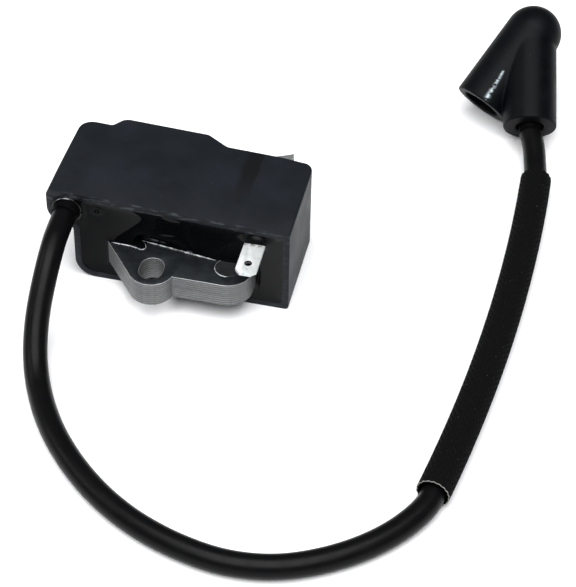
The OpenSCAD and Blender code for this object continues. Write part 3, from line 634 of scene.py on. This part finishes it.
# %% [markdown]
# ## The poured resin
# Epoxy is poured into the case with its open side up, wets the walls and everything that
# stands in it, and sets with its meniscus. So its face is not flat: it climbs at each
# wall and at each piece that comes through it, sinks in a shallow trough along the core
# and has a pit above the blade. The face is one height over a rectangle of x and z: a
# base depth, less a climb that fades with the distance to each thing that it wets, plus
# the pits. The same grid gives the back of the block.

# %% Sizes round the resin
case_low, case_high = (np.array(corner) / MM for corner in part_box("case_shell"))
sheet_low, sheet_high = (np.array(corner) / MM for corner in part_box("lamination_1"))
stack_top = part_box("lamination_10")[1].z / MM
blade_low, blade_high = (np.array(corner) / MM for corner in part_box("kill_blade"))
FRONT_Y = case_low[1]
WALL = 1.5
ROOF_RISE = 2.2
# The case's outline at the lead end: a foot rounded to one radius, a step up, and a
# horn round the lead.
FOOT_R = 4.8
HORN_R = 4.8
STEP_X = -22.2
LEAD_X, LEAD_Z = lead_exit[0], lead_exit[2]
COLLAR_R = 3.1
CORE_LEFT = -14.0
print("resin between", case_low.round(2), "and", case_high.round(2), "mm")

# %% Face of the resin
def roof_height(x):
    """The roof falls in a straight line from the lead end to the blade end."""
    return case_high[2] - ROOF_RISE * (x - case_low[0]) / (case_high[0] - case_low[0])


def floor_height(x):
    """The lower edge, half a wall outside the resin: the horn's arc, then the foot's."""
    reach = HORN_R - WALL / 2
    horn = LEAD_Z - np.sqrt(np.clip(reach**2 - (x - LEAD_X) ** 2, 0, None))
    foot_x = STEP_X + FOOT_R
    foot_reach = FOOT_R - WALL / 2
    foot = FOOT_R - np.sqrt(np.clip(foot_reach**2 - (x - foot_x) ** 2, 0, None))
    level = np.where(x < foot_x, foot, WALL / 2)
    return np.where(x < STEP_X + WALL / 2, horn, level)


def hump(x, z, x0, z0, wide, tall):
    """A bump exp(-(dx / wide)^2 - (dz / tall)^2), one high, around a point."""
    return np.exp(-(((x - x0) / wide) ** 2) - ((z - z0) / tall) ** 2)


def box_gap(x, z, x0, x1, z0, z1):
    """The distance from a point to a rectangle, zero inside."""
    return np.hypot(np.maximum(np.maximum(x0 - x, x - x1), 0),
                    np.maximum(np.maximum(z0 - z, z - z1), 0))


def wall_gap(x, z):
    """The distance to the nearest wall of the case, less than zero inside a wall."""
    past_step, over_foot = x - STEP_X - WALL, z - LEAD_Z + HORN_R - WALL
    step = np.where((past_step > 0) & (over_foot > 0), np.hypot(past_step, over_foot),
                    np.maximum(past_step, over_foot))
    return np.minimum.reduce([case_high[0] - WALL - x, x - case_low[0] - WALL,
                              z - WALL, roof_height(x) - WALL - z, step])


# Pits in the face, each a hump: how deep, x, z, how wide, how tall. They are a pit above
# the blade, a groove below it, and a burst bubble with its raised rim.
PITS = [(1.5, 20.6, 20.6, 2.6, 1.1), (1.1, 20.9, 7.4, 0.28, 2.2),
        (0.9, -16.5, 20.3, 0.55, 0.45), (-0.35, -16.5, 20.3, 1.1, 0.9)]
BASE_DEPTH = 0.5
LEAST_DEPTH, MOST_DEPTH = 0.06, 2.6
# The trough along the core's top starts within a short stretch at its left end, where
# it is deepest, and fades out over a long one towards its right end.
TROUGH_LEFT, TROUGH_START = -8.6, 1.8
TROUGH_RIGHT, TROUGH_FADE = 10.6, 17.4
TROUGH_DEPTH, TROUGH_TALL = 2.05, 2.4


def resin_depth(x, z):
    """How far the resin lies behind the front rim at each x and z, in mm.

    A base depth, less a climb * exp(-gap / width) at each thing that the resin wets, plus
    the trough along the core, the pits and a slow ripple."""
    lead = np.hypot(x - LEAD_X, z - LEAD_Z) - COLLAR_R
    core = box_gap(x, z, CORE_LEFT, sheet_high[0], sheet_low[2], stack_top)
    blade = box_gap(x, z, blade_low[0], blade_high[0], blade_low[2], blade_high[2])
    depth = BASE_DEPTH
    for gap, climb, width in ((wall_gap(x, z), 0.42, 1.3), (core, 0.3, 0.6),
                              (blade, 0.35, 0.5), (lead, 0.8, 1.0)):
        depth = depth - climb * np.exp(-np.clip(gap, 0, None) / width)
    trough = (np.clip((TROUGH_RIGHT - x) / TROUGH_FADE, 0, 1)
              * np.clip((x - TROUGH_LEFT) / TROUGH_START, 0, 1))
    depth += TROUGH_DEPTH * trough * np.exp(-(((z - stack_top) / TROUGH_TALL) ** 2))
    for deep, *spot in PITS:
        depth += deep * hump(x, z, *spot)
    depth += 0.06 * np.sin(x / 4.1) * np.cos(z / 3.6) + 0.02 * np.sin(x / 1.9 + z / 2.4)
    return np.clip(depth, LEAST_DEPTH, MOST_DEPTH)

# %% Resin block
def border(rows, cols, start):
    """The point numbers round the edge of a grid, in order."""
    grid = start + np.arange(rows * cols).reshape(rows, cols)
    return np.concatenate([grid[0, :-1], grid[:-1, -1], grid[-1, :0:-1], grid[:0:-1, 0]])


def closed_block(name, face, far_side):
    """A closed piece of resin: a grid of points, its far side, and a skirt between them."""
    rows, cols = face.shape[:2]
    quads = grid_faces(rows, cols)
    rim, far_rim = border(rows, cols, 0), border(rows, cols, rows * cols)
    skirt = np.stack([rim, np.roll(rim, -1), np.roll(far_rim, -1), far_rim], -1)
    faces = np.vstack([quads, rows * cols + quads[:, ::-1], skirt])
    points = np.vstack([face.reshape(-1, 3), far_side.reshape(-1, 3)])
    piece = new_piece(name, points * MM, faces, "module", "resin")
    outward(piece.data)
    set_material(epoxy, piece)
    return piece


ACROSS, UPWARD = 260, 120
BACK_Y = 9.2
across = np.linspace(case_low[0] + WALL / 2, case_high[0] - WALL / 2, ACROSS)
upward = np.linspace(0, 1, UPWARD)
x = np.repeat(across[:, None], UPWARD, axis=1)
low, high = floor_height(x), roof_height(x) - WALL / 2
z = low + (high - low) * upward
front = np.stack([x, FRONT_Y + resin_depth(x, z), z], -1)
# The back keeps clear of the case's sides, which lean in towards it.
back = np.stack([np.clip(x, case_low[0] + 2.2, case_high[0] - 1.6),
                 np.full_like(x, BACK_Y), np.clip(z, WALL, None)], -1)
resin = closed_block("poured_resin", front, back)
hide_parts("potting_compound")

# %% [markdown]
# ### Beads, run-out and the filled hole
# Where the resin's edge lies on bare metal it ends in a thin rounded bead, and each such
# bead shows one bright line, a painted highlight in the bead's pale colour. A little resin
# also ran out over the top sheet and filled the round hole in the end lobe. Beads are
# round sections along given edges that taper at both ends, or close on themselves round
# the bushing; the run-out is a flat pool that is thinnest at its own edge.

# %% Beads
BEAD_AROUND = 12
BEAD_SPACING = 0.2
# Points on a circle are numbered from its +x side, so a slice of them is an arc.
CIRCLE_POINTS = 48


def bead(name, points, radius_mm, closed=False, material=highlight_bead_epoxy):
    """A ring of radius r * sqrt(sin) carried along a smooth path, or of radius r round it."""
    path = smooth_path(points, BEAD_SPACING)
    side, lift = path_frames(path)
    if closed:
        verts = rings(path[:-1], side[:-1], lift[:-1], radius_mm, BEAD_AROUND).reshape(-1, 3)
        faces = grid_faces(len(path) - 1, BEAD_AROUND, wrap_rows=True, wrap_cols=True)
    else:
        swell = np.sqrt(np.clip(np.sin(np.pi * np.linspace(0, 1, len(path))), 0.02, 1))
        verts, faces = closed_tube(rings(path, side, lift, radius_mm * swell[:, None],
                                         BEAD_AROUND))
    piece = new_piece(name, verts * MM, faces, "module", "resin")
    outward(piece.data)
    set_material(material, piece)


def circle_points(centre, radius, upright=False):
    """Points round a circle that lies flat, or stands upright and faces the front."""
    a = np.linspace(0, 2 * np.pi, CIRCLE_POINTS + 1)
    flat = np.stack([radius * np.cos(a), radius * np.sin(a), np.zeros_like(a)], -1)
    return np.asarray(centre) + (flat[:, [0, 2, 1]] if upright else flat)


def on_stack(points):
    """Points given by x and y, laid on the core's top sheet."""
    return [(x, y, stack_top) for x, y in points]


END_LOBE = (14.4, -16.25)
END_HOLE_R = 2.9
CORE_EDGE = [(-7.4, -12.2), (-2.3, -12.75), (2.6, -13.45), (7.4, -14.1), (11.2, -14.55)]
RUN_OUT_EDGE = [(-13.6, -14.3), (-12.0, -14.45), (-10.0, -14.5), (-8.6, -14.6),
                (-7.4, -14.85), (-6.4, -15.15), (-5.6, -14.9), (-5.3, -14.1),
                (-5.9, -13.0), (-7.2, -12.3)]
SPECK = [(-12.9, -13.7, stack_top + 0.14), (-12.3, -12.9, stack_top + 0.16),
         (-12.0, -13.6, stack_top + 0.14)]
# These beads and the speck take the pale bead epoxy, whose colour is a painted highlight; the
# hole's bead lies only on the front left arc of its rim.
bead("core_bead", on_stack(CORE_EDGE), 0.25)
bead("run_out_bead", on_stack(RUN_OUT_EDGE), 0.17)
bead("resin_speck", SPECK, 0.11)
bead("hole_bead", circle_points((*END_LOBE, stack_top), END_HOLE_R + 0.05)[25:39], 0.13)
collar_ring = circle_points((LEAD_X, FRONT_Y + 0.1, LEAD_Z), 3.25, upright=True)
bead("bushing_bead", collar_ring, 0.34, closed=True, material=glossy_epoxy)
# A thin pale bead over the collar's upper arc: a painted highlight.
bead("bushing_painted_highlight", (collar_ring + [0, -0.25, 0.1])[9:20], 0.14)
collar_lip = circle_points((LEAD_X, FRONT_Y - 2.15, LEAD_Z), 2.93, upright=True)
bead("collar_lip_bead", collar_lip[2:15], 0.09, material=insulation)

# %% Run-out and filled hole
# The pool fills the bead's line in to a straight line inside the resin block. Its height
# is thick * (1 - (1 - t)^6) at a share t of the way in, and its top has a slight ripple.
POOL_INNER_Y = -11.6
POOL_THICK = 0.1
POOL_RIPPLE = 0.03
edge = smooth_path(on_stack(RUN_OUT_EDGE), 0.25)
inner = edge * [1, 0, 1] + [0, POOL_INNER_Y, 0]
t = np.linspace(0, 1, 14)[:, None, None]
pool = edge + (inner - edge) * t
inward = t[..., 0]
pool[..., 2] += (POOL_THICK * (1 - (1 - inward) ** 6)
                 + POOL_RIPPLE * np.sin(pool[..., 0] * 2.2) * inward)
under = pool * [1, 1, 0] + [0, 0, stack_top - 0.05]
closed_block("resin_run_out", pool, under)

# The plug of resin in the round hole is a dish turned about the hole's axis: it lies just
# below the top sheet's face, climbs at its rim with the fifth power of the radius, and
# goes down into the lowest sheet.
PLUG_R = END_HOLE_R - 0.01
PLUG_AROUND = 64
PLUG_MIDDLE = 0.02
share = np.linspace(0, 1, 16)
radii = PLUG_R * np.concatenate([np.linspace(PLUG_MIDDLE, 1, 16), [1.0, PLUG_MIDDLE]])
heights = np.concatenate([stack_top - 0.12 + 0.1 * share**5, [sheet_low[2] + 0.1] * 2])
a = np.linspace(0, 2 * np.pi, PLUG_AROUND, endpoint=False)
dish = np.stack([END_LOBE[0] + radii[:, None] * np.cos(a),
                 END_LOBE[1] + radii[:, None] * np.sin(a),
                 np.repeat(heights[:, None], PLUG_AROUND, axis=1)], -1)
plug = new_piece("hole_filling", *closed_tube(dish * MM), "module", "resin")
outward(plug.data)
set_material(dusty_epoxy, plug)

# %% [markdown]
# ## The abrasion sleeve
# Braided sleeving is two sets of yarns that wind opposite ways, so its surface is the
# larger of two waves that run at plus and minus the braid angle. It is bent to a wide
# arc round an upright axis. Outer wall, cut edge, inner wall and cut edge make one closed
# loop of rings. The cut at the lower mouth left the yarn ends pale, which an attribute
# passes on to the material.

# %% Sleeve
# The arc's axis and radius, the angle where the sleeve starts, and its length along it.
SLEEVE_AXIS = np.array([-397.3, 18.75])
SLEEVE_AXIS_R = 475.0
SLEEVE_START = math.radians(-10.08)
SLEEVE_LEN = 104.4
SLEEVE_Z = 3.74
SLEEVE_R = 3.72
SLEEVE_BORE = 3.32
YARNS = 18
YARN_PITCH = 1.7
YARN_RELIEF = 0.3
PALE_CUT = 0.2
AROUND, OUTER_RINGS, INNER_RINGS = 110, 560, 60

run = np.concatenate([np.linspace(0, SLEEVE_LEN, OUTER_RINGS),
                      np.linspace(SLEEVE_LEN, 0, INNER_RINGS)])
angle = SLEEVE_START + run / SLEEVE_AXIS_R
centres = np.stack([SLEEVE_AXIS[0] + SLEEVE_AXIS_R * np.cos(angle),
                    SLEEVE_AXIS[1] + SLEEVE_AXIS_R * np.sin(angle),
                    np.full_like(run, SLEEVE_Z)], -1)
spoke_out = np.stack([np.cos(angle), np.sin(angle), np.zeros_like(angle)], -1)
spoke_up = np.tile([0.0, 0.0, 1.0], (len(run), 1))
turn = np.linspace(0, YARNS, AROUND, endpoint=False)[None, :]
lay = run[:, None] / YARN_PITCH
relief = YARN_RELIEF * (1 - np.maximum(np.abs(np.sin(np.pi * (turn + lay))),
                                       np.abs(np.sin(np.pi * (turn - lay)))))
is_outer = (np.arange(len(run)) < OUTER_RINGS)[:, None]
radius = np.where(is_outer, SLEEVE_R - relief, SLEEVE_BORE)
points = rings(centres, spoke_out, spoke_up, radius, AROUND)
sleeve = new_piece("braided_sleeve", points.reshape(-1, 3) * MM,
                   grid_faces(len(run), AROUND, wrap_rows=True, wrap_cols=True),
                   "sleeve", "sleeve")
cut = np.clip(1 - run / PALE_CUT, 0, 1) * is_outer[:, 0]
cut_edge = sleeve.data.attributes.new("cut_edge", "FLOAT", "POINT")
cut_edge.data.foreach_set("value", np.repeat(cut, AROUND))
outward(sleeve.data)
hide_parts("abrasion_sleeve")
set_material(braid, sleeve)

# %% [markdown]
# ## The plug boot
# The boot is one moulding of soft rubber: two tubes that run into each other with a
# fillet, and lips that are never sharp. A copy of the CAD solid is rebuilt on a fine
# grid of cells, which joins the tubes, and then relaxed a little, which rounds every
# edge by a few tenths of a millimetre.

# %% Boot
BOOT_CELL = 0.24 * MM
boot_mesh = NODES["boot"].data.copy()
boot_mesh.name = "rubber_boot"
outward(boot_mesh)
boot = finish_piece("rubber_boot", boot_mesh, "boot")
cells = boot.modifiers.new("cells", "REMESH")
cells.mode = "VOXEL"
cells.voxel_size = BOOT_CELL
relax = boot.modifiers.new("relax", "SMOOTH")
relax.factor = 0.5
relax.iterations = 8
bpy.context.view_layer.update()
finished = bpy.data.meshes.new_from_object(
    boot.evaluated_get(bpy.context.evaluated_depsgraph_get()))
boot.modifiers.clear()
boot.data = finished
finished.polygons.foreach_set("use_smooth", [True] * len(finished.polygons))
print("rubber_boot:", len(finished.polygons), "faces after relaxing")

# %% Painted highlight streak
# A pale streak is painted down the plug tube beside the barrel as a highlight: full on a
# line between two points and fading with the distance d from it as exp(-(d / w)^2), where
# w narrows towards the elbow.
STREAK_TOP = np.array([64.5, 63.6, 16.1])
STREAK_END = np.array([61.7, 58.0, 11.6])
STREAK_NARROW, STREAK_WIDENS = 0.22, 0.26
corners = np.empty(len(finished.vertices) * 3)
finished.vertices.foreach_get("co", corners)
corners = corners.reshape(-1, 3) / MM
along = STREAK_END - STREAK_TOP
t = np.clip((corners - STREAK_TOP) @ along / (along @ along), 0, 1)
gap = np.linalg.norm(corners - STREAK_TOP - t[:, None] * along, axis=1)
painted_highlight_streak = finished.attributes.new("painted_highlight_streak", "FLOAT", "POINT")
painted_highlight_streak.data.foreach_set("value", np.exp(-(gap / (STREAK_NARROW + STREAK_WIDENS * t)) ** 2))
print("smeared corners:", int((gap < STREAK_NARROW).sum()))
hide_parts("boot")
set_material(rubber, boot)

# %% [markdown]
# ## Everything else
# The windings, the board and its parts are sealed in the resin, and the contacts are
# inside the boot, but each still gets the finish it has when the coil is taken apart.

# %% Remaining finishes
FINISHES = {
    rivet_steel: ["core_rivets"],
    natural_nylon: ["primary_bobbin", "secondary_bobbin", "charge_bobbin", "trigger_bobbin"],
    copper: ["primary_winding", "charge_winding", "trigger_winding",
             *(f"secondary_winding_{i}" for i in range(1, 5))],
    glass_epoxy: ["circuit_board"],
    dipped_film: ["storage_capacitor"],
    chip_epoxy: ["thyristor", "diode_1", "diode_2", "diode_3"],
    resistor_lacquer: ["resistor_1", "resistor_2"],
    brass: ["earth_strap", "ht_contact"],
    spring_steel: ["plug_spring", "contact_spike"],
    insulation: ["lead_tail", "lead_end", "lead_bushing"],
}
for material, names in FINISHES.items():
    set_material(material, *(NODES[name] for name in names))
set_material(insulation, lead)

# %% [markdown]
# ## Floor and light
# A white table and soft light: one large lamp above and a little in front, a weak one
# from the left, and a pale surround that fills the shadows.

# %% Floor
HALF_FLOOR = 4.0
FLOOR_Z = -0.01 * MM
floor_mesh = bpy.data.meshes.new("table_top")
floor_corners = [(x * HALF_FLOOR, y * HALF_FLOOR, FLOOR_Z)
                 for x, y in ((-1, -1), (1, -1), (1, 1), (-1, 1))]
floor_mesh.from_pydata(floor_corners, [], [(0, 1, 2, 3)])
floor = bpy.data.objects.new("table_top", floor_mesh)
bpy.context.scene.collection.objects.link(floor)
paper = new_material("white_paper_sweep", Roughness=0.9, Base_Color=linear("#fbfbfc"))[0]
set_material(paper, floor)

# %% Light
def soft_lamp(name, azimuth, elevation, distance, size, watts):
    """A square lamp of a size in metres that looks at the object from a direction in degrees."""
    a, e = math.radians(azimuth), math.radians(elevation)
    back = Vector((math.sin(a) * math.cos(e), -math.cos(a) * math.cos(e), math.sin(e)))
    data = bpy.data.lights.new(name, "AREA")
    data.size = size
    data.energy = watts
    lamp = bpy.data.objects.new(name, data)
    bpy.context.scene.collection.objects.link(lamp)
    lamp.location = CAMERA_TARGET + back * distance
    lamp.rotation_mode = "QUATERNION"
    lamp.rotation_quaternion = (-back).to_track_quat("-Z", "Y")
    print(f"{name}: {watts} W")


soft_lamp("key_lamp", azimuth=8, elevation=72, distance=1.5, size=1.6, watts=47)
soft_lamp("side_lamp", azimuth=275, elevation=35, distance=1.6, size=0.7, watts=4)
world = bpy.data.worlds.new("studio")
world.use_nodes = True
background = world.node_tree.nodes["Background"]
background.inputs["Color"].default_value = linear("#eef1f5")
background.inputs["Strength"].default_value = 0.22
bpy.context.scene.world = world
bpy.context.scene.view_settings.view_transform = "Standard"
